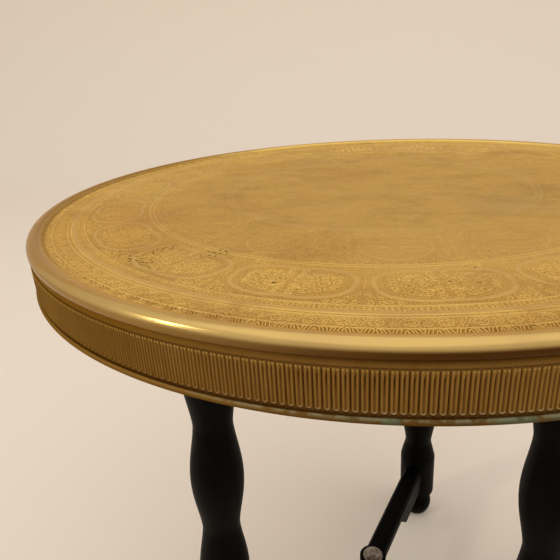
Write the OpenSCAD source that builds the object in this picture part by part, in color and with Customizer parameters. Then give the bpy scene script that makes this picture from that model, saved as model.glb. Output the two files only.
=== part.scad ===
// Round brass tray table: a loose, rimmed and aproned tray that lifts off a
// folding three-legged stand of turned and blackened wood. The origin is on the
// floor, on the axis that the tray and the stand share. All sizes are in mm.

/* [Tray] */
// Outside diameter of the rolled rim
tray_d = 600; // [400:10:800]
// Thickness of the tray's sheet brass
tray_sheet = 1.2; // [0.8:0.1:1.6]
// Radius of the rim's half-round nose
nose_r = 5.8; // [4.6:0.1:8]
// Depth of the tray floor below the crest of the rim
floor_drop = 3.1; // [1.5:0.1:4.5]
// Width of the rim, from its outside to the edge of the floor
rim_w = 14.4; // [12:0.2:24]
// How far round the nose is rolled below its middle, in degrees
nose_roll = 55; // [45:1:60]

/* [Apron] */
// Depth of the apron, from the middle of the nose to the underside of the bead
apron_h = 35.7; // [25:0.1:60]
// Thickness of the apron's sheet brass
apron_sheet = 1; // [0.6:0.1:1.4]
// Height of the apron's collar, where it is soldered up inside the nose
collar_h = 4.3; // [3:0.1:5.5]
// Outside diameter of the bead rolled along the apron's lower edge
bead_d = 4.1; // [3.6:0.1:6]
// Diameter of the iron wire that the bead is rolled round
wire_d = 2.2; // [1.6:0.1:2.6]

/* [Stand] */
// Height of the table, from the floor to the crest of the rim
table_h = 567; // [440:1:720]
// Distance of each foot from the axis of the stand
foot_reach = 197; // [160:1:240]
// Lean of each leg towards the axis, in degrees
leg_lean = 2; // [0:0.5:4]
// Direction in which the fixed leg stands, in degrees from +X
fixed_leg_angle = -36; // [-180:1:180]
// Angle from the fixed leg round to each swinging leg
leg_opening = 106; // [90:1:120]

/* [Leg turning] */
// Number of bulbs between the leg's two blocks
bulbs = 3; // [2:1:6]
// Diameter of each bulb at its fattest
bulb_d = 51; // [44:1:60]
// Diameter of the waists between the bulbs
waist_d = 37; // [28:1:42]
// Diameter of the straight blocks that take the arms
block_d = 50; // [44:1:60]
// Height of the turned foot below the lower block
foot_h = 38; // [30:1:50]
// Diameter of the foot at its fattest
foot_d = 44; // [36:1:52]

/* [Arms] */
// Width of each arm
arm_w = 24; // [20:1:28]
// Thickness of one knuckle; three of them are stacked on each pivot bolt
knuckle_t = 12; // [8:0.5:14]
// Diameter of the round end of a knuckle
knuckle_d = 32; // [26:1:40]
// Length of the thinned end of an arm, from the pivot bolt outwards
thinned_l = 78; // [70:1:95]
// Chamfer along the arm's edges
arm_chamfer = 3; // [1:0.5:5]
// Height of the middle of the lower arms above the floor
lower_arm_z = 78; // [70:1:140]
// Diameter of the tenon turned on the arm's outer end
tenon_d = 18; // [12:1:20]
// Depth of the tenon's hole in the leg's block
tenon_l = 34; // [26:1:38]
// Diameter of the wooden peg that locks each tenon
peg_d = 6; // [4:0.5:8]

/* [Hardware] */
// Shank diameter of the two pivot bolts
bolt_d = 8; // [6:1:10]
// Diameter of the bolt's domed head
head_d = 18; // [14:1:22]
// Height of the bolt's domed head
head_h = 3.6; // [3:0.1:5]
// Thickness of the end washers, under the head and over the nut
washer_t = 1.6; // [1:0.1:2]
// Outside diameter of all the washers
washer_d = 24; // [18:1:28]
// Thickness of the spacing washers between the knuckles
spacer_t = 1.5; // [1:0.1:2.5]
// Nut size across its flats
nut_af = 13; // [10:1:17]
// Height of the nut
nut_h = 6.5; // [5:0.5:9]
// Thickness of the felt pad on each leg
felt_t = 2.5; // [1.5:0.5:4]
// Diameter of the felt pad
felt_d = 38; // [28:1:44]
// Thickness of the glide under each foot
glide_t = 3; // [2:0.5:5]
// Diameter of the glide
glide_d = 22; // [16:1:26]
// Diameter of the glide's nail
glide_nail_d = 3; // [2:0.5:4]

/* [Hidden] */
$fn = 96;

brass = "#b3893a";
blackened = "#17130f";
steel = "#8a8d90";

// Clearances: round parts that fit, and flat parts that only pass each other
fit_gap = 0.05;
pass_gap = 0.3;

// Tray
rim_r = tray_d / 2;
nose_mid_r = rim_r - nose_r;
nose_mid_z = table_h - nose_r;
floor_r = rim_r - rim_w;
floor_z = table_h - floor_drop;
tray_under_z = floor_z - tray_sheet;
// The rim's slope leaves the floor's edge and meets the nose as a tangent
edge_to_mid = norm([nose_mid_r - floor_r, nose_mid_z - floor_z]);
tangent_angle = atan2(floor_z - nose_mid_z, floor_r - nose_mid_r) - acos(nose_r / edge_to_mid);
slope_angle = tangent_angle - 90;

// Apron: its collar stands inside the lip of the rolled nose
lip_angle = -nose_roll;
lip_in_r = nose_mid_r + (nose_r - tray_sheet) * cos(lip_angle);
lip_z = nose_mid_z + nose_r * sin(lip_angle);
collar_r = lip_in_r - pass_gap;
apron_r = rim_r - 1.1;
bead_mid_r = rim_r + 0.3 - bead_d / 2;
bead_mid_z = nose_mid_z - apron_h + bead_d / 2;

// Stand heights
leg_top_z = tray_under_z - pass_gap - felt_t;
head_room = 2;
upper_hub_top = tray_under_z - head_room - head_h - washer_t - pass_gap;
tier_pitch = knuckle_t + spacer_t + pass_gap;
arm_h = knuckle_t + 2 * tier_pitch;
upper_arm_z = upper_hub_top - arm_h / 2;
block_margin = 12;
lower_block_top = lower_arm_z + arm_h / 2 + block_margin;
upper_block_low = upper_arm_z - arm_h / 2 - block_margin / 2;
shoulder_h = 28;
bulb_low = lower_block_top + shoulder_h;
bulb_high = upper_block_low - shoulder_h / 2;
bulb_pitch = (bulb_high - bulb_low) / bulbs;

// Swinging legs, one to each side of the fixed one
left_leg_angle = fixed_leg_angle - leg_opening;
right_leg_angle = fixed_leg_angle + leg_opening;
// Each leg's arms keep to their own tier on the pivot bolts
fixed_tier = 0;
left_tier = -1;
right_tier = 1;

function leg_x(z) = foot_reach - z * tan(leg_lean);
function polar(mid, r, angle) = [mid[0] + r * cos(angle), mid[1] + r * sin(angle)];
function swell(low, high, t, power) = low + (high - low) * pow(sin(180 * t), power);
function ease(from, to, t) = from + (to - from) * (1 - cos(180 * t)) / 2;

module tray_top() {
    mid = [nose_mid_r, nose_mid_z];
    floor_edge = [floor_r, floor_z];
    under_edge = [floor_r + tray_sheet * tan(slope_angle / 2), tray_under_z];
    // The open side of the nose runs from the slope's tangent round to the lip
    open_step = (360 + lip_angle - tangent_angle) / 4;
    color(brass) rotate_extrude($fn = 180) {
        polygon([[0, tray_under_z], under_edge, floor_edge, [0, floor_z]]);
        polygon([floor_edge, under_edge, polar(mid, nose_r - tray_sheet, tangent_angle),
            polar(mid, nose_r, tangent_angle)]);
        difference() {
            translate(mid) circle(r = nose_r);
            translate(mid) circle(r = nose_r - tray_sheet);
            polygon([mid, for (i = [0:4]) polar(mid, 3 * nose_r, tangent_angle + i * open_step)]);
        }
    }
}

module apron_band() {
    color(brass) rotate_extrude($fn = 180) difference() {
        union() {
            translate([apron_r - apron_sheet, bead_mid_z])
                square([apron_sheet, lip_z - bead_mid_z]);
            translate([collar_r - apron_sheet, lip_z - apron_sheet])
                square([apron_r - collar_r + apron_sheet, apron_sheet]);
            translate([collar_r - apron_sheet, lip_z - apron_sheet])
                square([apron_sheet, collar_h]);
            translate([bead_mid_r, bead_mid_z]) circle(d = bead_d);
        }
        translate([bead_mid_r, bead_mid_z]) circle(d = wire_d + 2 * fit_gap);
    }
}

module edge_wire() {
    color(steel) rotate_extrude($fn = 180) translate([bead_mid_r, bead_mid_z]) circle(d = wire_d);
}

// A turned leg in its own direction, from the glide to the felt
module turned_leg(angle) {
    steps = 12;
    neck_r = foot_d / 2 - 7;
    foot = [for (i = [0:steps]) [swell(neck_r, foot_d / 2, i / steps, 0.8), foot_h * i / steps]];
    rise = 6;
    drop = [for (i = [0:steps])
        [ease(block_d, waist_d, i / steps) / 2, ease(lower_block_top, bulb_low, i / steps)]];
    turning = [for (b = [0:bulbs - 1], i = [1:2 * steps])
        [swell(waist_d, bulb_d, i / steps / 2, 1.5) / 2, bulb_low + bulb_pitch * (b + i / steps / 2)]];
    neck = [for (i = [1:steps])
        [ease(waist_d, block_d, i / steps) / 2, ease(bulb_high, upper_block_low, i / steps)]];
    outline = concat([[0, 0]], foot, [[block_d / 2, foot_h + rise]], drop, turning, neck,
        [[block_d / 2, table_h], [0, table_h]]);
    color(blackened) rotate(angle) difference() {
        intersection() {
            translate([foot_reach, 0, 0]) rotate([0, -leg_lean, 0])
                rotate_extrude() polygon(outline);
            translate([0, -block_d, glide_t])
                cube([2 * foot_reach, 2 * block_d, leg_top_z - glide_t]);
        }
        for (z = [lower_arm_z, upper_arm_z]) {
            translate([leg_x(z) - block_d, 0, z]) rotate([0, 90, 0])
                cylinder(h = block_d / 2 + tenon_l, d = tenon_d + 2 * fit_gap);
            translate([leg_x(z), 0, z]) rotate([90, 0, 0])
                cylinder(h = 2 * block_d, d = peg_d + 2 * fit_gap, center = true);
        }
        translate([foot_reach, 0, 0]) cylinder(h = foot_h / 2, d = glide_nail_d + 2 * fit_gap);
    }
}

// One arm: knuckle, thinned end, full bar coped to the leg, and tenon. The bar
// swells from the knuckle's tier to its full depth along slopes of 45 degrees.
module arm(angle, z, tier) {
    tier_low = tier * tier_pitch - knuckle_t / 2;
    tier_high = tier_low + knuckle_t;
    c = arm_chamfer;
    w = arm_w / 2;
    h = arm_h / 2;
    side = concat([[0, tier_high], [0, tier_low], [thinned_l, tier_low]],
        tier > -1 ? [[thinned_l + tier_low + h, -h]] : [],
        [[leg_x(z), -h], [leg_x(z), h]],
        tier < 1 ? [[thinned_l + h - tier_high, h]] : [],
        [[thinned_l, tier_high]]);
    color(blackened) rotate(angle) translate([0, 0, z]) difference() {
        union() {
            difference() {
                intersection() {
                    rotate([90, 0, 90]) linear_extrude(leg_x(z))
                        polygon([[-w + c, -h], [w - c, -h], [w, -h + c], [w, h - c],
                            [w - c, h], [-w + c, h], [-w, h - c], [-w, -h + c]]);
                    rotate([90, 0, 0]) linear_extrude(2 * arm_w, center = true) polygon(side);
                }
                translate([leg_x(z), 0, 0]) rotate([0, -leg_lean, 0])
                    cylinder(h = 2 * arm_h, d = block_d + 2 * fit_gap, center = true);
            }
            translate([0, 0, tier_low]) cylinder(h = knuckle_t, d = knuckle_d);
            translate([leg_x(z) - block_d / 2 - tenon_d, 0, 0]) rotate([0, 90, 0])
                cylinder(h = tenon_l + tenon_d - 1, d = tenon_d);
        }
        translate([0, 0, tier_low - 1]) cylinder(h = knuckle_t + 2, d = bolt_d + 2 * fit_gap);
        translate([leg_x(z), 0, 0]) rotate([90, 0, 0])
            cylinder(h = arm_w + 2, d = peg_d + 2 * fit_gap, center = true);
    }
}

// The two pegs through one leg's blocks, finished just below the surface
module pegs(angle) {
    color(blackened) rotate(angle) for (z = [lower_arm_z, upper_arm_z])
        translate([leg_x(z), 0, z]) rotate([90, 0, 0])
            cylinder(h = block_d - 1, d = peg_d, center = true);
}

module felt(angle) {
    color("#2c3a2c") rotate(angle) translate([leg_x(leg_top_z), 0, leg_top_z])
        cylinder(h = felt_t, d = felt_d);
}

// Glide: a steel disc with a rounded-off edge, nailed up into the foot
module glide(angle) {
    edge = glide_t / 3;
    color(steel) rotate(angle) translate([foot_reach, 0, 0]) rotate_extrude()
        polygon([[0, 0], [glide_d / 2 - edge, 0], [glide_d / 2, edge], [glide_d / 2, glide_t],
            [glide_nail_d / 2, glide_t], [glide_nail_d / 2, foot_h / 2 - 1], [0, foot_h / 2 - 1]]);
}

// Pivot bolt with its head up, passing through the three stacked knuckles
module pivot_bolt(z) {
    stack = arm_h + 2 * (pass_gap + washer_t);
    spare_thread = 3;
    shank = stack + nut_h + spare_thread;
    color(steel) translate([0, 0, z + stack / 2]) {
        translate([0, 0, -shank]) cylinder(h = shank + 1, d = bolt_d);
        cylinder(h = head_h / 2, d = head_d);
        translate([0, 0, head_h / 2]) cylinder(h = head_h / 2, d1 = head_d, d2 = head_d / 2);
    }
}

module pivot_nut(z) {
    color(steel) translate([0, 0, z - arm_h / 2 - pass_gap - washer_t - nut_h]) difference() {
        cylinder(h = nut_h, d = nut_af / cos(30), $fn = 6);
        translate([0, 0, -1]) cylinder(h = nut_h + 2, d = bolt_d + 2 * fit_gap);
    }
}

module washer(z, t) {
    color(steel) translate([0, 0, z]) difference() {
        cylinder(h = t, d = washer_d);
        translate([0, 0, -1]) cylinder(h = t + 2, d = bolt_d + 2 * fit_gap);
    }
}

// Washers that bear on the heads and the nuts
module end_washers() {
    for (z = [lower_arm_z, upper_arm_z]) {
        washer(z + arm_h / 2 + pass_gap, washer_t);
        washer(z - arm_h / 2 - pass_gap - washer_t, washer_t);
    }
}

// Washers above and below the fixed leg's knuckles
module spacing_washers() {
    for (z = [lower_arm_z, upper_arm_z]) {
        washer(z + knuckle_t / 2, spacer_t);
        washer(z - knuckle_t / 2 - spacer_t, spacer_t);
    }
}

module fixed_leg() { turned_leg(fixed_leg_angle); }
module fixed_upper_arm() { arm(fixed_leg_angle, upper_arm_z, fixed_tier); }
module fixed_lower_arm() { arm(fixed_leg_angle, lower_arm_z, fixed_tier); }
module left_leg() { turned_leg(left_leg_angle); }
module left_upper_arm() { arm(left_leg_angle, upper_arm_z, left_tier); }
module left_lower_arm() { arm(left_leg_angle, lower_arm_z, left_tier); }
module right_leg() { turned_leg(right_leg_angle); }
module right_upper_arm() { arm(right_leg_angle, upper_arm_z, right_tier); }
module right_lower_arm() { arm(right_leg_angle, lower_arm_z, right_tier); }

tray_top();
apron_band();
edge_wire();
fixed_leg();
fixed_upper_arm();
fixed_lower_arm();
pegs(fixed_leg_angle);  // fixed_leg_pegs
felt(fixed_leg_angle);  // fixed_leg_felt
glide(fixed_leg_angle);  // fixed_leg_glide
left_leg();
left_upper_arm();
left_lower_arm();
pegs(left_leg_angle);  // left_leg_pegs
felt(left_leg_angle);  // left_leg_felt
glide(left_leg_angle);  // left_leg_glide
right_leg();
right_upper_arm();
right_lower_arm();
pegs(right_leg_angle);  // right_leg_pegs
felt(right_leg_angle);  // right_leg_felt
glide(right_leg_angle);  // right_leg_glide
pivot_bolt(upper_arm_z);  // upper_pivot_bolt
pivot_bolt(lower_arm_z);  // lower_pivot_bolt
pivot_nut(upper_arm_z);  // upper_pivot_nut
pivot_nut(lower_arm_z);  // lower_pivot_nut
end_washers();
spacing_washers();
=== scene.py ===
import math
import random

import bmesh
import bpy
from mathutils import Matrix, Vector


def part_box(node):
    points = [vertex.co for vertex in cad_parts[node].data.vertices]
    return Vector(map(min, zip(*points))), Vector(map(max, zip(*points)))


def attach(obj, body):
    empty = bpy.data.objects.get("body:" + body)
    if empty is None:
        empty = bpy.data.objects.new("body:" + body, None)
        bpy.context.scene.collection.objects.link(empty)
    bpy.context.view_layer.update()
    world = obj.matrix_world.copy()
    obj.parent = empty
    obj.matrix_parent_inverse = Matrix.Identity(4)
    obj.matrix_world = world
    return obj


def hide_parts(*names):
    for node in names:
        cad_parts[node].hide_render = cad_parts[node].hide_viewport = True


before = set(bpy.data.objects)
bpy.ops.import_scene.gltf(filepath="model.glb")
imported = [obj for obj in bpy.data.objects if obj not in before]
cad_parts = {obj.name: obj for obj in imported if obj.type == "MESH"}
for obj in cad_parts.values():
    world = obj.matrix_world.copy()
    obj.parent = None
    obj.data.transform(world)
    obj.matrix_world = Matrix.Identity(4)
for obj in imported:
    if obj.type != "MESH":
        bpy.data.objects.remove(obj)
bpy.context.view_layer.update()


# ---------------------------------------------------------------------------
# Studio: a pale floor that sweeps up into a pale wall, a broad soft light above,
# a small warm lamp on the left, and a camera that looks down across the tray.

tray_low, tray_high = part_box("tray_top")
rim_r = (tray_high.x - tray_low.x) / 2
rim_top = tray_high.z
nose_r = 0.0058
nose_mid = (rim_r - nose_r, rim_top - nose_r)

camera_data = bpy.data.cameras.new("camera")
camera_data.sensor_width = 36
camera_data.lens = 34.06
camera_data.clip_start = 0.01
camera = bpy.data.objects.new("camera", camera_data)
bpy.context.collection.objects.link(camera)
camera_yaw, camera_pitch, camera_roll = (math.radians(a) for a in (-11.07, 22.03, -3.58))
forward = Vector((math.sin(camera_yaw) * math.cos(camera_pitch),
                  math.cos(camera_yaw) * math.cos(camera_pitch), -math.sin(camera_pitch)))
level_right = Vector((math.cos(camera_yaw), -math.sin(camera_yaw), 0))
right = level_right * math.cos(camera_roll) + level_right.cross(forward) * math.sin(camera_roll)
turned = Matrix((right, right.cross(forward), -forward)).transposed().to_4x4()
camera_back = 1.6435 * rim_r
camera_up = 0.3743 * rim_r
camera_place = Vector((0, -camera_back, nose_mid[1] + camera_up))
camera.matrix_world = Matrix.Translation(camera_place) @ turned
bpy.context.scene.camera = camera
bpy.context.scene.view_settings.view_transform = "Standard"


def soft_light(name, place, aim, size, power, tint):
    """A square area light at one place, turned to face another."""
    data = bpy.data.lights.new(name, "AREA")
    data.size = size
    data.energy = power
    data.color = tint
    light = bpy.data.objects.new(name, data)
    light.location = place
    light.rotation_euler = (Vector(aim) - Vector(place)).to_track_quat("-Z", "Y").to_euler()
    bpy.context.collection.objects.link(light)


soft_light("lamp", (-2.06, -1.26, 1.74), (0, 0, 0.56), 0.16, 8, (1.0, 0.93, 0.78))
soft_light("ceiling", (0.2, -0.6, 3.6), (0, -0.4, 0.5), 5.2, 31, (1.0, 0.97, 0.94))
soft_light("side", (2.4, -0.4, 1.6), (0, 0, 0.4), 1.4, 5, (1.0, 0.96, 0.90))

world = bpy.data.worlds.new("studio")
world.use_nodes = True
world.node_tree.nodes["Background"].inputs["Color"].default_value = (0.80, 0.755, 0.69, 1)
world.node_tree.nodes["Background"].inputs["Strength"].default_value = 0.96
bpy.context.scene.world = world


def mesh_object(name, vertices, faces, smooth=True):
    """A new object at the origin whose mesh has these corners and faces."""
    mesh = bpy.data.meshes.new(name)
    mesh.from_pydata([tuple(v) for v in vertices], [], faces)
    mesh.validate()
    mesh.polygons.foreach_set("use_smooth", [smooth] * len(mesh.polygons))
    made = bpy.data.objects.new(name, mesh)
    bpy.context.collection.objects.link(made)
    return made


def arc(centre, radius, start, stop, count):
    """Points along an arc in (across, height), from one angle to another in degrees."""
    angles = [math.radians(start + (stop - start) * i / (count - 1)) for i in range(count)]
    return [(centre[0] + radius * math.cos(a), centre[1] + radius * math.sin(a)) for a in angles]


class Wire:
    """One value on its way through a node tree. Arithmetic on it adds Math nodes."""

    def __init__(self, graph, socket):
        self.graph = graph
        self.socket = socket

    def __add__(self, other):
        return self.graph.math("ADD", self, other)

    def __sub__(self, other):
        return self.graph.math("SUBTRACT", self, other)

    def __rsub__(self, other):
        return self.graph.math("SUBTRACT", other, self)

    def __mul__(self, other):
        return self.graph.math("MULTIPLY", self, other)

    def __truediv__(self, other):
        return self.graph.math("DIVIDE", self, other)

    def __neg__(self):
        return self.graph.math("MULTIPLY", self, -1)

    __radd__ = __add__
    __rmul__ = __mul__


class Graph:
    """Adds nodes to one node tree, of a material or of a modifier."""

    def __init__(self, tree):
        self.tree = tree
        tree.nodes.clear()

    def node(self, kind, settings=(), inputs=(), out=0):
        """A node of any kind: its settings first, then values or Wires by socket name or number."""
        made = self.tree.nodes.new(kind)
        for name, value in dict(settings).items():
            setattr(made, name, value)
        for name, value in dict(inputs).items():
            if isinstance(value, Wire):
                self.tree.links.new(value.socket, made.inputs[name])
            else:
                made.inputs[name].default_value = value
        return Wire(self, made.outputs[out]) if made.outputs else made

    def math(self, operation, *values):
        return self.node("ShaderNodeMath", {"operation": operation}, dict(enumerate(values)))

    def step(self, value, low, high):
        """0 below low, 1 above high, and a smooth rise between."""
        return self.node("ShaderNodeMapRange", {"interpolation_type": "SMOOTHSTEP"},
                         {"Value": value, "From Min": low, "From Max": high})

    def noise(self, place, scale, detail=3.0, roughness=0.55):
        return self.node("ShaderNodeTexNoise", {}, {"Vector": place, "Scale": scale,
                         "Detail": detail, "Roughness": roughness})

    def mix(self, factor, first, second):
        """A colour between two colours."""
        return self.node("ShaderNodeMix", {"data_type": "RGBA"}, {0: factor, 6: first, 7: second}, out=2)

    def split(self, vector):
        """The three parts of a vector."""
        parts = self.tree.nodes.new("ShaderNodeSeparateXYZ")
        self.tree.links.new(vector.socket, parts.inputs[0])
        return [Wire(self, parts.outputs[i]) for i in range(3)]

    def place(self):
        """Object coordinates, as one vector and as x, y and z."""
        vector = self.node("ShaderNodeTexCoord", out="Object")
        return vector, *self.split(vector)

    def vector(self, x, y, z):
        return self.node("ShaderNodeCombineXYZ", {}, {0: x, 1: y, 2: z})

    def length(self, x, y):
        return self.math("SQRT", x * x + y * y)

    def bump(self, height, distance, strength=1.0):
        return self.node("ShaderNodeBump", {}, {"Height": height, "Distance": distance,
                                                "Strength": strength}, out="Normal")

    def surface(self, constants, **fed):
        """The Principled shader and the output. Constants are set on its own sockets."""
        shader = self.tree.nodes.new("ShaderNodeBsdfPrincipled")
        for name, value in constants.items():
            shader.inputs[name].default_value = value
        for name, wire in fed.items():
            self.tree.links.new(wire.socket, shader.inputs[name.replace("_", " ")])
        output = self.tree.nodes.new("ShaderNodeOutputMaterial")
        self.tree.links.new(shader.outputs[0], output.inputs[0])


def new_material(name):
    """An empty node material, and the Graph that fills it."""
    material = bpy.data.materials.new(name)
    material.use_nodes = True
    return material, Graph(material.node_tree)


def colour(red, green, blue):
    """A paint-chart colour, 0 to 255 a channel, as the linear values that shaders take."""
    return tuple((c / 255) ** 2.2 for c in (red, green, blue)) + (1.0,)


wall_at, wall_top, sweep_r, sweep_half = 3.6, 5.0, 1.3, 8
sweep_side = [(-7.0, 0.0)] + arc((wall_at - sweep_r, sweep_r), sweep_r, 270, 360, 13) + [(wall_at, wall_top)]
sweep = mesh_object("studio_sweep", [(x, y, z) for y, z in sweep_side for x in (-sweep_half, sweep_half)],
                    [(2 * i, 2 * i + 1, 2 * i + 3, 2 * i + 2) for i in range(len(sweep_side) - 1)])
sweep_paint, graph = new_material("studio_paint")
graph.surface({"Base Color": colour(238, 227, 215), "Roughness": 0.9})
sweep.data.materials.append(sweep_paint)


# ---------------------------------------------------------------------------
# Tray: one disc of sheet brass, spun so that its edge rises in a short slope
# and rolls over in a half-round nose. Chased rings mark out its bands, and the
# ground between them is sunk a little, so that the ornament is left standing.

sheet = 0.0012
floor_top = rim_top - 0.0031
floor_r = rim_r - 0.0136
sunk = -0.00010
proud = 0.00006
channel = -0.0004
bevel = 0.00018
nose_lip = -55      # degrees: how far round its lower side the nose is rolled


def lathe(name, outline, turns):
    """Spins a closed outline of (radius, height) pairs round an upright axis. A
    point on the axis is made once. Edges sharper than 40 degrees stay crisp."""
    vertices, rows = [], []
    for radius, height in outline:
        if radius < 1e-7:
            rows.append([len(vertices)] * turns)
            vertices.append((0, 0, height))
            continue
        rows.append(list(range(len(vertices), len(vertices) + turns)))
        for i in range(turns):
            a = 2 * math.pi * i / turns
            vertices.append((radius * math.cos(a), radius * math.sin(a), height))
    faces = []
    for low, high in zip(rows, rows[1:] + rows[:1]):
        for i in range(turns):
            j = (i + 1) % turns
            corners = list(dict.fromkeys((low[i], low[j], high[j], high[i])))
            if len(corners) > 2:
                faces.append(corners)
    made = mesh_object(name, vertices, faces)
    outward(made)
    return made


def outward(piece, crisp=40):
    """Merges doubled corners, turns every face outwards and marks the crisp edges."""
    work = bmesh.new()
    work.from_mesh(piece.data)
    bmesh.ops.remove_doubles(work, verts=work.verts, dist=1e-6)
    bmesh.ops.recalc_face_normals(work, faces=work.faces)
    work.to_mesh(piece.data)
    work.free()
    if crisp:
        piece.data.set_sharp_from_angle(angle=math.radians(crisp))


# Each band of the floor from the middle outwards: its outer radius and its level
bands = [(0.1315, sunk), (0.1350, 0.0), (0.1362, sunk), (0.1390, 0.0), (0.2020, sunk), (0.2032, proud),
         (0.2050, sunk), (0.2064, proud), (0.2574, sunk), (0.2586, proud), (0.2636, sunk), (0.2672, 0.0),
         (0.2684, proud), (0.2698, sunk), (0.2710, proud), (0.2812, sunk), (0.2822, proud), (0.2861, channel)]
walk = [(0, floor_top + sunk)]
inner = 0.05
for outer, level in bands:
    outer = outer * rim_r / 0.3
    walk += [(inner + bevel, floor_top + level), (outer - bevel, floor_top + level)]
    inner = outer
slope_from = (floor_r - nose_mid[0], floor_top - nose_mid[1])
slope_meets = (math.degrees(math.atan2(slope_from[1], slope_from[0]))
               - math.degrees(math.acos(nose_r / math.hypot(*slope_from))))
outline = arc(nose_mid, nose_r - sheet, nose_lip, slope_meets, 16)
outline += [(floor_r, floor_top - sheet), (0, floor_top - sheet)]
outline += walk + [(floor_r, floor_top)] + arc(nose_mid, nose_r, slope_meets, nose_lip, 30)
tray = lathe("tray_sheet", outline, 512)
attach(tray, "tray")
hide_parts("tray_top")

# Aged brass. What stands proud is worn bright by rubbing and, in patches, painted lighter still as painted
# glints;
# what is sunk keeps its tarnish, smooth bands are a little greyer, and the middle of the floor is worn dull.
tray_brass, graph = new_material("tray_brass")
where, x, y, z = graph.place()
radius = graph.length(x, y)
height = z - floor_top
on_floor = 1 - graph.step(radius, floor_r - 0.0006, floor_r + 0.0004)
flat = graph.vector(x, y, 0.0)

cloud = graph.noise(where, 5.0, 4.0, 0.6)
mottle = graph.noise(where, 38.0, 4.0, 0.65)
speckle = graph.noise(where, 420.0, 2.0, 0.5)


def spirals(scale, pitch):
    """Fine tendrils: every cell of the pattern winds its own spiral round its middle."""
    middle = graph.node("ShaderNodeTexVoronoi", {"voronoi_dimensions": "2D"},
                        {"Vector": flat, "Scale": scale, "Randomness": 0.6}, out="Position")
    away = graph.node("ShaderNodeVectorMath", {"operation": "SUBTRACT"}, {0: flat, 1: middle})
    dx, dy, dz = graph.split(away)
    return graph.math("SINE", graph.length(dx, dy) * (2 * math.pi / pitch) + graph.math("ARCTAN2", dy, dx))


winding = graph.step(spirals(150.0, 0.0021), -0.3, 0.5)
worn = graph.step(graph.noise(where, 6.0, 3.0, 0.6) - graph.length(x - 0.05, y + 0.03) * 1.6, 0.16, 0.50)
sunken = graph.step(-height, 0.00002, 0.00008) * on_floor
smooth = graph.step(height, -0.00005, -0.00002) * (1 - graph.step(height, 0.00001, 0.00004)) * on_floor
raised = graph.step(height, 0.00001, 0.00005) * on_floor
deep = graph.step(-height, 0.00014, 0.00034) * on_floor

brass = graph.mix(graph.step(cloud, 0.35, 0.68), colour(241, 206, 119), colour(230, 190, 102))
brass = graph.mix(graph.step(mottle, 0.45, 0.75) * 0.6, brass, colour(202, 164, 102))
wiped = graph.noise(graph.vector(x * 0.22, y, 0.5), 95.0, 5.0, 0.7)
brass = graph.mix(graph.step(wiped, 0.5, 0.72) * on_floor * 0.3, brass, colour(170, 130, 62))
brass = graph.mix(sunken * 0.34, brass, colour(182, 138, 66))
brass = graph.mix(sunken * winding * (0.42 - worn * 0.22), brass, colour(164, 122, 56))
brass = graph.mix(smooth * 0.55, brass, colour(212, 178, 116))
# Raised ridges are a little lighter from wear, and much brighter in noise patches as painted glints
rubbed_bright_and_glints = graph.step(graph.noise(where, 26.0, 3.0, 0.6), 0.45, 0.68)
brass = graph.mix(raised * (0.10 + rubbed_bright_and_glints * 0.5 - worn * 0.1), brass, colour(246, 214, 128))
brass = graph.mix(worn * 0.25, brass, colour(208, 178, 120))


def blotch(across, along, size):
    """A soft-edged patch of stain round one place on the floor."""
    ragged = (cloud + mottle * 0.6) * 0.09 - 0.072
    return graph.step(size - graph.length(x - across, y - along) + ragged, -0.012, 0.040)


brass = graph.mix(blotch(0.100, -0.066, 0.034) * 0.55, brass, colour(190, 168, 120))
brass = graph.mix(blotch(0.135, -0.020, 0.020) * 0.5, brass, colour(150, 126, 80))
brass = graph.mix(blotch(-0.078, 0.155, 0.034) * 0.45, brass, colour(172, 150, 104))
brass = graph.mix(blotch(-0.180, -0.100, 0.028) * 0.35, brass, colour(192, 140, 98))
brass = graph.mix(blotch(-0.040, 0.070, 0.050) * 0.35, brass, colour(178, 132, 70))
brass = graph.mix(blotch(-0.140, -0.160, 0.022) * 0.35, brass, colour(180, 132, 84))
drab = graph.step(graph.noise(where, 11.0, 5.0, 0.7), 0.54, 0.70)
brass = graph.mix(drab * on_floor * 0.45, brass, colour(182, 140, 76))
olive = graph.step(graph.noise(graph.vector(x * 0.6, y, 0.3), 34.0, 6.0, 0.75), 0.44, 0.68)
middle = 1 - graph.step(radius, 0.12, 0.24)
brass = graph.mix(middle * 0.4, brass, colour(198, 160, 94))
brass = graph.mix(olive * middle * 0.3, brass, colour(156, 122, 64))
brass = graph.mix(deep * 0.45, brass, colour(140, 102, 48))

# The nose is polished on its crown. Its left end is painted duller and its lower side darker as painted
# shade, and a dark painted reflection runs round its lowest part, strongest on the right
on_nose = graph.step(radius, floor_r + 0.004, floor_r + 0.005)
brass = graph.mix(on_nose * 0.75, brass, colour(202, 168, 108))
# Painted shade: the left end of the nose is painted a duller brown
brass = graph.mix(on_nose * graph.step(-x, 0.10, 0.25) * 0.55, brass, colour(152, 108, 46))
# Painted shade: the lower side of the nose is painted darker, more so further down
nose_underside_shade = graph.step(nose_mid[1] + 0.0045 - z, 0.0, 0.0065)
brass = graph.mix(nose_underside_shade * on_nose * 0.6, brass, colour(134, 92, 34))
# The right-hand side of the tray, away from the lamp
turned_away = graph.step(x, -0.16, 0.03)
# Painted reflection: a dark brown band round the lowest part of the nose, stronger on the right, stands in
# for the dark room it would reflect
nose_dark_reflection = graph.step(nose_mid[1] + 0.0027 - z, 0.0, 0.0024) * on_nose * (0.28 + turned_away * 0.68)
brass = graph.mix(nose_dark_reflection, brass, colour(70, 43, 18))
corner = (graph.step(radius, floor_r - 0.0006, floor_r + 0.0006)
          * (1 - graph.step(radius, floor_r + 0.001, floor_r + 0.004)))
brass = graph.mix(corner * 0.3, brass, colour(158, 118, 60))
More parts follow.
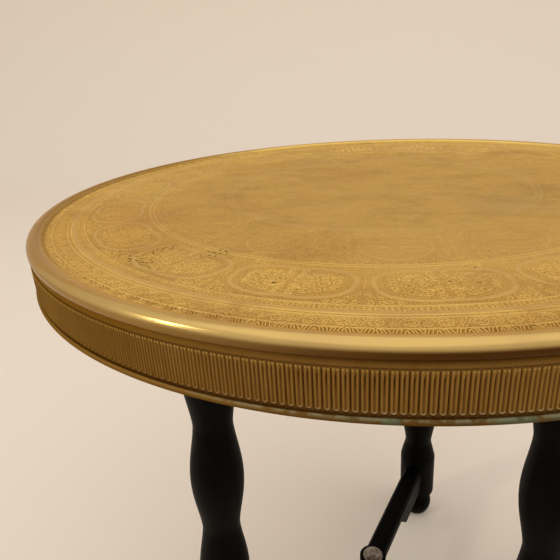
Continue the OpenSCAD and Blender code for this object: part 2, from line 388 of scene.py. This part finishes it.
# Painted shade: the slope from the floor up to the nose is painted darker brown on the left side
inner_slope_shade = (graph.step(radius, floor_r - 0.0015, floor_r + 0.0010)
               * (1 - graph.step(radius, floor_r + 0.004, floor_r + 0.008)))
brass = graph.mix(inner_slope_shade * graph.step(-x, 0.12, 0.27) * 0.6, brass, colour(128, 88, 38))

# Black corrosion pits, in three loose drifts and a few single spots
dots = graph.node("ShaderNodeTexVoronoi", {"voronoi_dimensions": "2D"},
                  {"Vector": flat, "Scale": 230.0, "Randomness": 1.0})
pitted = 0.0
for across, along, lie, long, wide in ((-0.151, -0.195, -36, 0.029, 0.008),
                                       (-0.141, -0.178, 60, 0.021, 0.006),
                                       (-0.101, -0.182, 40, 0.013, 0.008)):
    cosine, sine = math.cos(math.radians(lie)), math.sin(math.radians(lie))
    lengthwise = (x - across) * (cosine / long) + (y - along) * (sine / long)
    sideways = (y - along) * (cosine / wide) - (x - across) * (sine / wide)
    drift = graph.step(0.32 - dots - graph.length(lengthwise, sideways) * 0.19, 0.0, 0.08)
    pitted = graph.math("MAXIMUM", pitted, drift)
for across, along, size in ((-0.055, -0.231, 0.0022), (-0.046, -0.256, 0.0014), (0.054, -0.206, 0.0019),
                            (0.049, -0.204, 0.0013), (-0.192, -0.214, 0.0015)):
    away = graph.length(x - across, y - along) + speckle * 0.0010
    pitted = graph.math("MAXIMUM", pitted, 1 - graph.step(away, size * 0.5, size))
pitted = pitted * on_floor
brass = graph.mix(pitted * 0.75, brass, colour(70, 54, 34))

polish = graph.step(radius, floor_r + 0.001, floor_r + 0.005)
rough = (0.42 + graph.step(cloud, 0.3, 0.7) * 0.05 + sunken * 0.06 + worn * 0.08 + pitted * 0.3
         - polish * 0.24 + speckle * 0.03)
polishing = graph.noise(graph.vector(radius, 0.0, z), 2400.0, 2.0, 0.5)
relief = mottle * 0.35 + speckle * 0.2 - winding * sunken * (0.9 - worn * 0.5) - pitted * 1.2
graph.surface({"Metallic": 1.0, "Specular Tint": (0.97, 0.89, 0.74, 1.0)}, Base_Color=brass, Roughness=rough,
              Normal=graph.bump(relief * (on_floor * 0.92 + 0.08) + polishing * on_nose * 0.45, 0.00020, 0.9))
tray.data.materials.append(tray_brass)


# ---------------------------------------------------------------------------
# Chasing: the ornament that the graver and the punches leave standing on the
# floor. One short length of each border is shaped, and a ring of copies of it
# goes round the tray. Every curl is a low ridge with sloping sides.

def baked(name, tree, inputs):
    """Runs one Geometry Nodes tree and keeps its result as a plain mesh."""
    host = bpy.data.objects.new(name, bpy.data.meshes.new(name + "_host"))
    bpy.context.collection.objects.link(host)
    modifier = host.modifiers.new("make", "NODES")
    modifier.node_group = tree
    sockets = {s.name: s.identifier for s in tree.interface.items_tree if s.in_out == "INPUT"}
    for label, value in inputs.items():
        modifier[sockets[label]] = value
    depsgraph = bpy.context.evaluated_depsgraph_get()
    made = bpy.data.meshes.new_from_object(host.evaluated_get(depsgraph), depsgraph=depsgraph)
    host.modifiers.remove(modifier)
    host.data = made
    made.name = name
    return host


ring_tree = bpy.data.node_groups.new("ring_of_copies", "GeometryNodeTree")
for label, kind in (("Unit", "Object"), ("Copies", "Int"), ("Start", "Float"), ("Unsteadiness", "Float"),
                    ("Seed", "Int"), ("Join", "Float"), ("Finish", "Material")):
    ring_tree.interface.new_socket(label, in_out="INPUT", socket_type="NodeSocket" + kind)
ring_tree.interface.new_socket("Geometry", in_out="OUTPUT", socket_type="NodeSocketGeometry")
graph = Graph(ring_tree)
given = ring_tree.nodes.new("NodeGroupInput")
unit, copies, start, unsteadiness, seed, join, finish = (Wire(graph, given.outputs[i]) for i in range(7))
unit_mesh = graph.node("GeometryNodeObjectInfo", {}, {"Object": unit}, out="Geometry")
shake = graph.node("FunctionNodeRandomValue", {"data_type": "FLOAT"}, {2: -1.0, 3: 1.0, "Seed": seed}, out=1)
turn = start + graph.node("GeometryNodeInputIndex") * (2 * math.pi) / copies + shake * unsteadiness
spots = graph.node("GeometryNodePoints", {}, {"Count": copies})
placed = graph.node("GeometryNodeInstanceOnPoints", {}, {"Points": spots, "Instance": unit_mesh,
                    "Rotation": graph.vector(0.0, 0.0, turn)})
solid = graph.node("GeometryNodeRealizeInstances", {}, {0: placed})
joined = graph.node("GeometryNodeMergeByDistance", {}, {"Geometry": solid, "Distance": join})
finished = graph.node("GeometryNodeSetMaterial", {}, {"Geometry": joined, "Material": finish})
ring_tree.links.new(finished.socket, ring_tree.nodes.new("NodeGroupOutput").inputs[0])


def ring_of(name, unit, copies, material, start=0.0, unsteadiness=0.0, seed=0, join=0.0):
    """The unit repeated evenly all the way round, as one mesh; the unit itself is then dropped."""
    made = baked(name, ring_tree, {"Unit": unit, "Copies": copies, "Start": start, "Finish": material,
                                   "Unsteadiness": unsteadiness, "Seed": seed, "Join": join})
    bpy.data.objects.remove(unit)
    return made


def skin_height(r):
    """How high the tray's upper skin lies at a radius: flat, then up the slope."""
    climb = math.tan(math.radians(slope_meets - 90))
    return floor_top + max(0.0, r - floor_r) * climb


class Chasing:
    """Collects the ridges of one length of ornament. Each is laid out as
    (along, radius): metres along the arc, and metres from the tray's middle."""

    def __init__(self):
        self.vertices = []
        self.faces = []

    def ridge(self, path, width, crest=0.00004, closed=False, taper=True, root=-0.00018):
        count = len(path)
        first = len(self.vertices)
        for i, (s, r) in enumerate(path):
            before = path[i - 1] if (i or closed) else path[0]
            after = path[(i + 1) % count] if (i < count - 1 or closed) else path[-1]
            ds, dr = after[0] - before[0], after[1] - before[1]
            length = math.hypot(ds, dr) or 1.0
            ends = min(i, count - 1 - i) / max(1, (count - 1) * 0.3)
            half = width / 2 * (1.0 if closed or not taper else 0.3 + 0.7 * min(1.0, ends))
            for side, rise in ((-1, root), (-0.5, crest), (0.5, crest), (1, root)):
                along = s - dr / length * half * side
                out = r + ds / length * half * side
                a = along / out
                self.vertices.append((out * math.sin(a), -out * math.cos(a), skin_height(out) + rise))
        for i in range(count if closed else count - 1):
            a, b = first + 4 * i, first + 4 * ((i + 1) % count)
            self.faces += [(a + k, a + (k + 1) % 4, b + (k + 1) % 4, b + k) for k in range(4)]
        if not closed:
            last = first + 4 * (count - 1)
            self.faces += [(first + 3, first + 2, first + 1, first), (last, last + 1, last + 2, last + 3)]

    def ring(self, name, copies, **how):
        """Goes round the tray with copies of everything collected."""
        unit = mesh_object("unit", self.vertices, self.faces, smooth=False)
        outward(unit, crisp=0)
        made = ring_of(name, unit, copies, tray_brass, **how)
        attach(made, "tray")


def curl(s, r, size, turns, start, hand=1, count=14):
    """A spiral that opens out from a small eye round (s, r)."""
    points = []
    for i in range(count):
        t = (i / (count - 1)) ** 0.75
        a = start + hand * t * turns * 2 * math.pi
        reach = size * (0.14 + 0.86 * t)
        points.append((s + reach * math.cos(a), r + reach * math.sin(a)))
    return points


def s_scroll(s, r, size, turns, tilt, hand, count=11):
    """Two spirals that share one stem, like a letter S lying along the border."""
    points = []
    for end in (-1, 1):
        middle = (s + end * size * math.cos(tilt), r + end * size * math.sin(tilt))
        half = []
        for i in range(count):
            t = (i / (count - 1)) ** 0.8
            a = tilt + (0 if end < 0 else math.pi) - hand * 2 * math.pi * turns * (1 - t)
            reach = size * (0.15 + 0.85 * t)
            half.append((middle[0] + reach * math.cos(a), middle[1] + reach * math.sin(a)))
        points += half if end < 0 else half[-2::-1]
    return points


def bow(start, lead, trail, stop, count=8):
    """Points along a curve that leaves start towards lead and reaches stop from trail."""
    points = []
    for i in range(count):
        t = i / (count - 1)
        weights = ((1 - t) ** 3, 3 * t * (1 - t) ** 2, 3 * t * t * (1 - t), t ** 3)
        pulls = tuple(zip(weights, (start, lead, trail, stop)))
        points.append(tuple(sum(w * p[k] for w, p in pulls) for k in (0, 1)))
    return points


def tendrils(chase, low, high, reach, inside, size, seed, width=0.00115, crest=0.00004, flat_by=1.0):
    """Rows of S-scrolls wherever inside(s, r) says, with a leaf above and below each
    stem. The left half mirrors the right, no two scrolls are quite alike, and flat_by
    draws them out along the border."""
    chance = random.Random(seed)
    rows = max(1, round((high - low) / (size * 1.95 / flat_by)))
    for j in range(rows):
        for i in range(-1, int(reach / (size * 4.1 * flat_by)) + 1):
            s = (i + 0.5 + 0.5 * (j % 2)) * size * 4.1 * flat_by
            r = low + (j + 0.5) * (high - low) / rows
            grow = chance.uniform(0.9, 1.05)
            tilt = chance.uniform(-0.35, 0.35)
            r += chance.uniform(-0.1, 0.1) * size
            hand = (-1) ** (i + j)
            eyes = [s + end * size * flat_by for end in (-1, 1)]
            ends = [inside(abs(at), r) and at > size * 0.7 * flat_by for at in eyes]
            paths = []
            if all(ends):
                paths.append(s_scroll(s, r, size * grow, 1.45, tilt, hand))
                paths += [bow((s - size * 0.5, r + k * size * 0.75), (s - size * 0.2, r + k * size * 0.45),
                              (s + size * 0.2, r + k * size * 0.45), (s + size * 0.5, r + k * size * 0.75), 4)
                          for k in (-1, 1)]
            elif any(ends):
                paths.append(curl(s + (size if ends[1] else -size), r, size * grow, 1.5, tilt, hand))
            for path in paths:
                drawn = [(s + (p - s) * flat_by, r + (q - r) / flat_by) for p, q in path]
                for side in (-1, 1):
                    chase.ridge([(side * p, q) for p, q in drawn], width, crest)


def rounded(r0, a, b, power, count, pinch=0.0):
    """A closed outline between an oval and a box, pinched in the middle of its long sides."""
    points = []
    for i in range(count):
        t = 2 * math.pi * i / count
        p = a * math.copysign(abs(math.cos(t)) ** (2 / power), math.cos(t))
        q = b * math.copysign(abs(math.sin(t)) ** (2 / power), math.sin(t))
        points.append((p, r0 + q * (1 - pinch * math.exp(-(p / (a * 0.16)) ** 2))))
    return points


# Outermost, a band of cuts up to the slope, leaning one way and then the other in groups
hatch_low, hatch_high = 0.2817, 0.2881
hatch_spaced_at = 0.2842
groups, per_group = 133, 8
pitch = 2 * math.pi * hatch_spaced_at / groups / per_group
chance = random.Random(21)
chase = Chasing()
for i in range(per_group):
    s = (i + 0.5 + chance.uniform(-0.14, 0.14)) * pitch
    lean = chance.uniform(0.0006, 0.0013) * (1 if i < per_group / 2 else -1)
    chase.ridge([(s + lean * t, hatch_low + (hatch_high - hatch_low) * (t + 1) / 2) for t in (-1, 0.3, 1)],
                pitch * 0.68, 0.00003, taper=False, root=-0.0005)
chase.ring("tray_hatching", groups, unsteadiness=0.0008, seed=3)

# Next a running scroll: each stem rises from the last eye, sweeps over the next and winds
# into it more than twice, with leaves that follow the stem in the gap between the eyes
scrolls = 114
scroll_mid = 0.2761
length = 2 * math.pi * scroll_mid / scrolls
eye = 0.0045
chase = Chasing()
stem = bow((0.0030 - length, -0.0044), (-0.0090, -0.0048), (-0.0050, -0.0030), (-eye, 0.0010), 7)
wound = []
wound_steps = 24
for i in range(wound_steps + 1):
    turned_by = math.radians(167 - 760 * i / wound_steps)
    reach = eye * (1 - 0.80 * i / wound_steps)
    wound.append((reach * math.cos(turned_by), reach * math.sin(turned_by)))
leaves = (bow((-0.0112, -0.0028), (-0.0086, -0.0032), (-0.0064, -0.0014), (-0.0060, 0.0022), 6),
          bow((-0.0060, 0.0022), (-0.0056, 0.0036), (-0.0044, 0.0044), (-0.0030, 0.0046), 5),
          bow((-0.0098, -0.0010), (-0.0082, -0.0012), (-0.0074, 0.0008), (-0.0074, 0.0044), 6))
for path, width in ((stem + wound[1:], 0.0010), *((leaf, 0.0009) for leaf in leaves)):
    chase.ridge([(s, scroll_mid - up) for s, up in path], width)
chase.ring("tray_scrolls", scrolls, unsteadiness=0.0012, seed=5)

# Then a cable: short slanting beads in two rows
chase = Chasing()
for mid, hand in ((0.2624, 1), (0.2599, -1)):
    slant = ((-0.0008, -0.0011), (-0.0002, 0.0), (0.0007, 0.0011))
    chase.ridge([(s * hand, mid + up) for s, up in slant], 0.0016)
chase.ring("tray_cable", 612, unsteadiness=0.0003, seed=7)

# The main field: long cartouches with a smooth border, filled with paired curls
cartouches = 18
field_mid = 0.2324
long_half, high_half = 0.0376, 0.0224
squareness = 2.8


def in_cartouche(s, r, spare):
    """Whether (s, r) lies inside the cartouche's outline grown by spare metres."""
    return ((abs(s) / (long_half + spare)) ** squareness
            + (abs(r - field_mid) / (high_half + spare)) ** squareness < 1)


chase = Chasing()
chase.ridge(rounded(field_mid, long_half - 0.002, high_half - 0.002, squareness, 72, 0.06), 0.0042, 0.0,
            closed=True)
tendrils(chase, field_mid - 0.0178, field_mid + 0.0178, 0.038, lambda s, r: in_cartouche(s, r, -0.0064),
         size=0.0027, seed=11, width=0.00105, crest=0.00006, flat_by=1.3)
tendrils(chase, 0.2072, 0.2568, 0.040, lambda s, r: (not in_cartouche(s, r, 0.0026)
         and s < math.pi * r / cartouches - 0.0022), size=0.0023, seed=12, width=0.0010)
chase.ridge([(math.pi * r / cartouches, r) for r in (0.2240, 0.2280, 0.2324, 0.2365, 0.2400)], 0.0011)
chase.ring("tray_cartouches", cartouches, start=math.radians(8.6))

# Inside it, round medallions that hold six-petalled flowers
medallions = 14
inner_mid = 0.1712
medal_r = 0.0246
chase = Chasing()
chase.ridge(rounded(inner_mid, medal_r - 0.0015, medal_r - 0.0015, 2.0, 56), 0.0026, -0.00005, closed=True)
for k in range(6):
    a = math.pi * k / 3 + math.pi / 6
    half = [(0.0030 + 0.0130 * t, 0.0040 * math.sin(math.pi * t)) for t in [i / 7 for i in range(8)]]
    petal = half + [(p, -q) for p, q in reversed(half[1:-1])]
    chase.ridge([(p * math.cos(a) - q * math.sin(a), inner_mid + p * math.sin(a) + q * math.cos(a))
                 for p, q in petal], 0.0011, 0.0, closed=True)
    chase.ridge(curl(0.0143 * math.cos(a + math.pi / 6), inner_mid + 0.0143 * math.sin(a + math.pi / 6),
                     0.0030, 1.5, a, 1), 0.0010, 0.0)
tendrils(chase, 0.1402, 0.2014, 0.041, lambda s, r: (math.hypot(s, r - inner_mid) > medal_r + 0.0027
         and s < math.pi * r / medallions - 0.0024), size=0.0026, seed=13, width=0.0011, crest=0.00002)
chase.ring("tray_medallions", medallions, start=math.radians(4))

# In the middle, a flower of sixteen long petals with curls between their tips
petals = 16
chase = Chasing()
half = []
for i in range(14):
    t = i / 13
    half.append((0.030 + 0.062 * t, 0.0095 * math.sin(math.pi * t) * (0.6 + 0.5 * t)))
chase.ridge([(q, p) for p, q in half] + [(-q, p) for p, q in reversed(half[1:-1])], 0.0015, -0.00002,
            closed=True)
chase.ridge([(0.0, 0.040 + 0.006 * i) for i in range(7)], 0.0012, -0.00002)


def between_petals(s, r):
    """Whether (s, r) lies clear of the petals and of the next length of the ornament."""
    past_tips = r > 0.0950
    beside = s > 0.0125 * math.sin(math.pi * min(1, (r - 0.028) / 0.064)) + 0.001
    return s < math.pi * r / petals - 0.0026 and (past_tips or beside)


tendrils(chase, 0.060, 0.130, 0.026, between_petals, size=0.0031, seed=14, crest=-0.00003)
chase.ring("tray_flower", petals)


# ---------------------------------------------------------------------------
# Apron: a hoop of thinner brass pressed into close-set flutes, with a soft cove
# up to the nose. Its collar is soldered up inside the nose, and its lower edge
# is rolled round an iron wire as a bead.

band_low, band_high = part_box("apron_band")
bead_r = 0.0019
bead_mid = (band_high.x - bead_r, band_low.z + bead_r)
ribs = 456
ridge_r = rim_r - 0.0006
rib_half = math.pi * ridge_r / ribs
rib_top = rim_top - 0.0133
rib_foot = rim_top - 0.0364
groove = 0.0007
rib_proud = 0.0003
flute = 0.00085
flute_fades, groove_fades = 0.0028, 0.0016
flute_edge, groove_edge, groove_wall = 0.38, 0.62, 0.36     # shares of a rib's half width
band_r = ridge_r - 0.0008

# The cove: a hollow that leaves the nose at its lower quarter, then turns over to meet the ribs
cove_joins = -30
cove_r = 0.0060
cove_mid = tuple(c + (nose_r + cove_r) * f(math.radians(cove_joins))
                 for c, f in zip(nose_mid, (math.cos, math.sin)))
cove_foot = rib_top - 0.0014
dx, dz = cove_mid[0] - (ridge_r - rib_proud), cove_mid[1] - cove_foot
shoulder_r = (dx * dx + dz * dz - cove_r ** 2) / (2 * (cove_r - dx))
shoulder_turn = math.degrees(math.atan2(dz, dx + shoulder_r))
collar_r = rim_r - 0.00346
wall_in = ridge_r - groove - 0.0014
cove = arc((ridge_r - rib_proud - shoulder_r, cove_foot), shoulder_r, 0, shoulder_turn, 9)
cove += arc(cove_mid, cove_r, 180 + shoulder_turn, 180 + cove_joins, 11)[1:]


def skin_radius(height):
    """The hoop's radius at a height, before the ribs are pressed in: straight, then along the cove."""
    for (r0, z0), (r1, z1) in zip(cove, cove[1:]):
        if z0 <= height <= z1:
            return r0 + (r1 - r0) * (height - z0) / (z1 - z0)
    return ridge_r - rib_proud


outline = [(skin_radius(rib_top), rib_top)] + [p for p in cove if p[1] > rib_top + 0.00005]
outline += [(collar_r + 0.0004, rim_top - 0.0108), (collar_r, rim_top - 0.0108), (collar_r, band_high.z),
            (collar_r - 0.001, band_high.z), (collar_r - 0.001, cove_foot + 0.002), (wall_in, cove_foot),
            (wall_in, bead_mid[1]), (band_r, bead_mid[1]), (band_r, rib_foot + 0.001),
            (wall_in + 0.0008, rib_foot + 0.001), (wall_in + 0.0008, rib_top)]
hoop = lathe("apron_hoop", outline, 456)
bead = lathe("apron_bead", arc(bead_mid, bead_r, 0, 345, 24), 456)


def rib_rise(u, v):
    """How far a rib stands out from the hoop's skin, u metres from the rib's middle and
    v metres above its foot: one ridge that runs down, round the foot and up again, a
    narrow flute inside it, and half of the groove on either side. All of it dies out
    at the head."""
    tall = rib_top - rib_foot
    past_end = max(0.0, rib_half - v)
    reach = math.hypot(u, past_end) / rib_half
    if reach <= flute_edge:
        hollow = (1 + math.cos(math.pi * reach / flute_edge)) / 2
        sunk_by = hollow * flute / groove * min(1.0, (tall - v) / flute_fades)
    else:
        sunk_by = min(1.0, max(0.0, reach - groove_edge) / groove_wall)
    deepest = (groove - rib_proud) * min(1.0, (tall - v) / groove_fades)
    return rib_proud * (1 - sunk_by) - deepest * sunk_by


# Up the front of a rib: the height of each row of corners above the foot
heights = (-0.0006, 0.0002, 0.0008, 0.0014, 0.0021, 0.0186, 0.0219, 0.0223, 0.0227, rib_top - rib_foot)
columns = (-1, -0.82, -groove_edge, -flute_edge, 0, flute_edge, groove_edge, 0.82, 1)
wide = len(columns)
vertices = []
for v in heights:
    for column in columns:
        u = column * rib_half
        r = skin_radius(rib_foot + v) + (rib_rise(u, v) if v > 0 else rib_proud - groove)
        vertices.append((r * math.sin(u / ridge_r), -r * math.cos(u / ridge_r), rib_foot + v))
faces = [(k * wide + i, k * wide + i + 1, (k + 1) * wide + i + 1, (k + 1) * wide + i)
         for k in range(len(heights) - 1) for i in range(wide - 1)]

# One flat face closes each end of the rib, and one its hidden back
top = len(vertices) - wide
back = len(vertices)
for v in (heights[0], heights[-1]):
    for u in (-rib_half, rib_half):
        a = u / ridge_r
        vertices.append(((wall_in + 0.0006) * math.sin(a), -(wall_in + 0.0006) * math.cos(a), rib_foot + v))
faces += [(*range(wide - 1, -1, -1), back, back + 1), (*range(top, top + wide), back + 3, back + 2),
          (back, back + 2, back + 3, back + 1)]

# Brown bronze, with verdigris in the feet of the ribs and on the bead. The grooves are painted black-brown as
# painted shade, the rib tops get a painted highlight, the cove, the bead's lower side and the band below the
# ribs get painted shade, and the bead is painted lighter on the left as painted light.
apron_brass, graph = new_material("apron_brass")
where, x, y, z = graph.place()
radius = graph.length(x, y)
cloud = graph.noise(where, 9.0, 4.0, 0.6)
fine = graph.noise(where, 160.0, 3.0, 0.6)
streak = graph.noise(graph.vector(x, y, z * 0.15), 260.0, 3.0, 0.6)
above_bead = graph.step(z, bead_mid[1] + bead_r * 0.8, bead_mid[1] + bead_r * 1.1)
on_ribs = above_bead * (1 - graph.step(z, rib_top, rib_top + 0.0008))
# Painted shade: the grooves and flutes, by how far they sink below the ridges, are painted black-brown
sunken = graph.step(ridge_r - radius, 0.00004, 0.0005) * on_ribs
bronze = graph.mix(graph.step(cloud, 0.35, 0.65), colour(148, 114, 60), colour(132, 98, 48))
bronze = graph.mix(graph.step(streak, 0.45, 0.7) * 0.35, bronze, colour(120, 84, 42))
bronze = graph.mix(fine * 0.4, bronze, colour(112, 88, 50))
bronze = graph.mix(sunken * 0.62, bronze, colour(80, 51, 23))
turned_away = graph.step(x, -0.16, 0.03)
green = (graph.step(graph.noise(where, 15.0, 5.0, 0.7) + fine * 0.25, 0.55, 0.70)
         * (0.05 + graph.step(x, -0.04, 0.06) * 0.95))
crust = graph.length(x - 0.007, (y + 0.300) * 0.3) + fine * 0.003
green = graph.math("MAXIMUM", green, 1 - graph.step(crust, 0.0045, 0.0065))
feet = (graph.step(-z, -rib_foot - 0.0026, -rib_foot - 0.0004)
        * graph.step(radius - ridge_r, -0.00030, -0.00006) * above_bead)
bronze = graph.mix(feet * (0.02 + turned_away * 0.34 + green * 0.2), bronze, colour(196, 196, 166))
# Painted highlight: the top ends of the ridges, where they meet the cove, are painted light gold, less so on
# the right
head_highlight = (graph.step(z, rib_top - 0.0018, rib_top - 0.0010) * on_ribs
         * graph.step(radius - ridge_r, -0.00030, -0.00010))
bronze = graph.mix(head_highlight * (0.65 - turned_away * 0.35), bronze, colour(214, 172, 92))
on_bead = 1 - above_bead
# Painted light: the bead is painted golden on the left, towards the lamp, and dark brown on the right
bead_lit_and_shaded = graph.mix(turned_away, colour(136, 100, 48), colour(90, 65, 32))
bronze = graph.mix(on_bead * 0.85, bronze, bead_lit_and_shaded)
# Painted shade: the cove is painted dark gold-brown on the left and near-black brown on the right, darkest
# towards the nose
cove_shade = graph.step(z, rib_top - 0.0004, rib_top + 0.0006)
cove_shade_deepens = graph.step(z, rib_top, rib_top + 0.0050)
bronze = graph.mix(cove_shade * (1 - turned_away) * 0.70, bronze, colour(124, 90, 40))
bronze = graph.mix((0.30 + cove_shade_deepens * 0.65) * turned_away * cove_shade, bronze, colour(66, 41, 17))
bronze = graph.mix(on_bead * green * 0.7, bronze, colour(82, 102, 84))
# Painted highlight with a verdigris tint: a pale green-white band painted along the top of the bead on the
# front left
bead_top_highlight = (graph.step(z - bead_mid[1], 0.0, bead_r * 0.8) * graph.step(fine, 0.35, 0.60)
         * graph.step(x, -0.12, -0.04))
bronze = graph.mix(bead_top_highlight * on_bead * 0.45, bronze, colour(168, 164, 128))
# Painted shade: the lower half of the bead is painted dark brown
bead_underside_shade = on_bead * graph.step(bead_mid[1] - z, -bead_r * 0.1, bead_r * 0.9)
bronze = graph.mix(bead_underside_shade * 0.7, bronze, colour(74, 50, 24))
# Painted shade: the set-back strip between the feet of the ribs and the bead is painted dark brown
below_ribs_shade = above_bead * graph.step(rib_foot - z, -0.0006, 0.0002)
bronze = graph.mix(below_ribs_shade * 0.5, bronze, colour(60, 38, 18))
rough = 0.38 + fine * 0.14 + on_bead * (0.10 + green * 0.20)
graph.surface({"Specular Tint": (0.84, 0.67, 0.42, 1.0)}, Base_Color=bronze, Roughness=rough,
              Metallic=1 - on_bead * green * 0.4, Normal=graph.bump(fine + streak, 0.00012, 0.6))

fluting = ring_of("apron_flutes", mesh_object("unit", vertices, faces), ribs, apron_brass, join=2e-6)
outward(fluting, crisp=60)
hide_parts("apron_band")
for piece in (hoop, bead):
    piece.data.materials.append(apron_brass)
for piece in (fluting, hoop, bead):
    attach(piece, "tray")


# ---------------------------------------------------------------------------
# Legs: turned from one length of hardwood each, blackened and waxed. Straight
# blocks take the arms' tenons, and a row of bulbs joins the blocks.

def finish_nodes(material, *nodes):
    """Gives one finish to parts whose CAD shape stays."""
    for node in nodes:
        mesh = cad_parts[node].data
        mesh.materials.clear()
        mesh.materials.append(material)


ebonised, graph = new_material("ebonised_wood")
where, x, y, z = graph.place()
lines = graph.noise(graph.vector(x, y, z * 0.06), 190.0, 4.0, 0.6)
patch = graph.noise(where, 16.0, 3.0, 0.5)
black = graph.mix(graph.step(lines, 0.45, 0.75) * 0.6,
                  (0.0008, 0.0007, 0.0006, 1), (0.003, 0.0024, 0.0019, 1))
graph.surface({"Specular IOR Level": 0.04}, Base_Color=black, Roughness=0.34 + patch * 0.16 + lines * 0.1,
              Normal=graph.bump(lines, 0.00025, 0.5))
for side in ("fixed", "left", "right"):
    finish_nodes(ebonised, f"{side}_upper_arm", f"{side}_lower_arm", f"{side}_leg")

# The pegs that lock the tenons show end grain, which took the black stain less evenly
pegs, graph = new_material("peg_wood")
where, x, y, z = graph.place()
rings = graph.noise(where, 420.0, 4.0, 0.65)
grain = graph.mix(graph.step(rings, 0.4, 0.7), (0.006, 0.0045, 0.0035, 1), (0.022, 0.014, 0.009, 1))
graph.surface({"Specular IOR Level": 0.15}, Base_Color=grain, Roughness=0.5 + rings * 0.15,
              Normal=graph.bump(rings, 0.0002, 0.5))
finish_nodes(pegs, "fixed_leg_pegs", "left_leg_pegs", "right_leg_pegs")

# Bolts, nuts, washers, glides and the wire in the bead are plain steel, dulled by handling
steel, graph = new_material("plain_steel")
where, x, y, z = graph.place()
spots = graph.noise(where, 300.0, 3.0, 0.6)
metal = graph.mix(graph.step(spots, 0.4, 0.7), colour(150, 146, 140), colour(112, 100, 88))
graph.surface({"Metallic": 1.0}, Base_Color=metal, Roughness=0.32 + spots * 0.2)
finish_nodes(steel, "upper_pivot_bolt", "lower_pivot_bolt", "upper_pivot_nut", "lower_pivot_nut",
             "end_washers", "spacing_washers", "edge_wire",
             "fixed_leg_glide", "left_leg_glide", "right_leg_glide")

# A pad of green felt on each leg keeps the wood off the brass
felt, graph = new_material("felt")
where, x, y, z = graph.place()
fuzz = graph.noise(where, 900.0, 3.0, 0.7)
graph.surface({"Roughness": 0.95}, Base_Color=graph.mix(fuzz, colour(40, 60, 42), colour(70, 92, 66)),
              Normal=graph.bump(fuzz, 0.0004, 0.8))
finish_nodes(felt, "fixed_leg_felt", "left_leg_felt", "right_leg_felt")
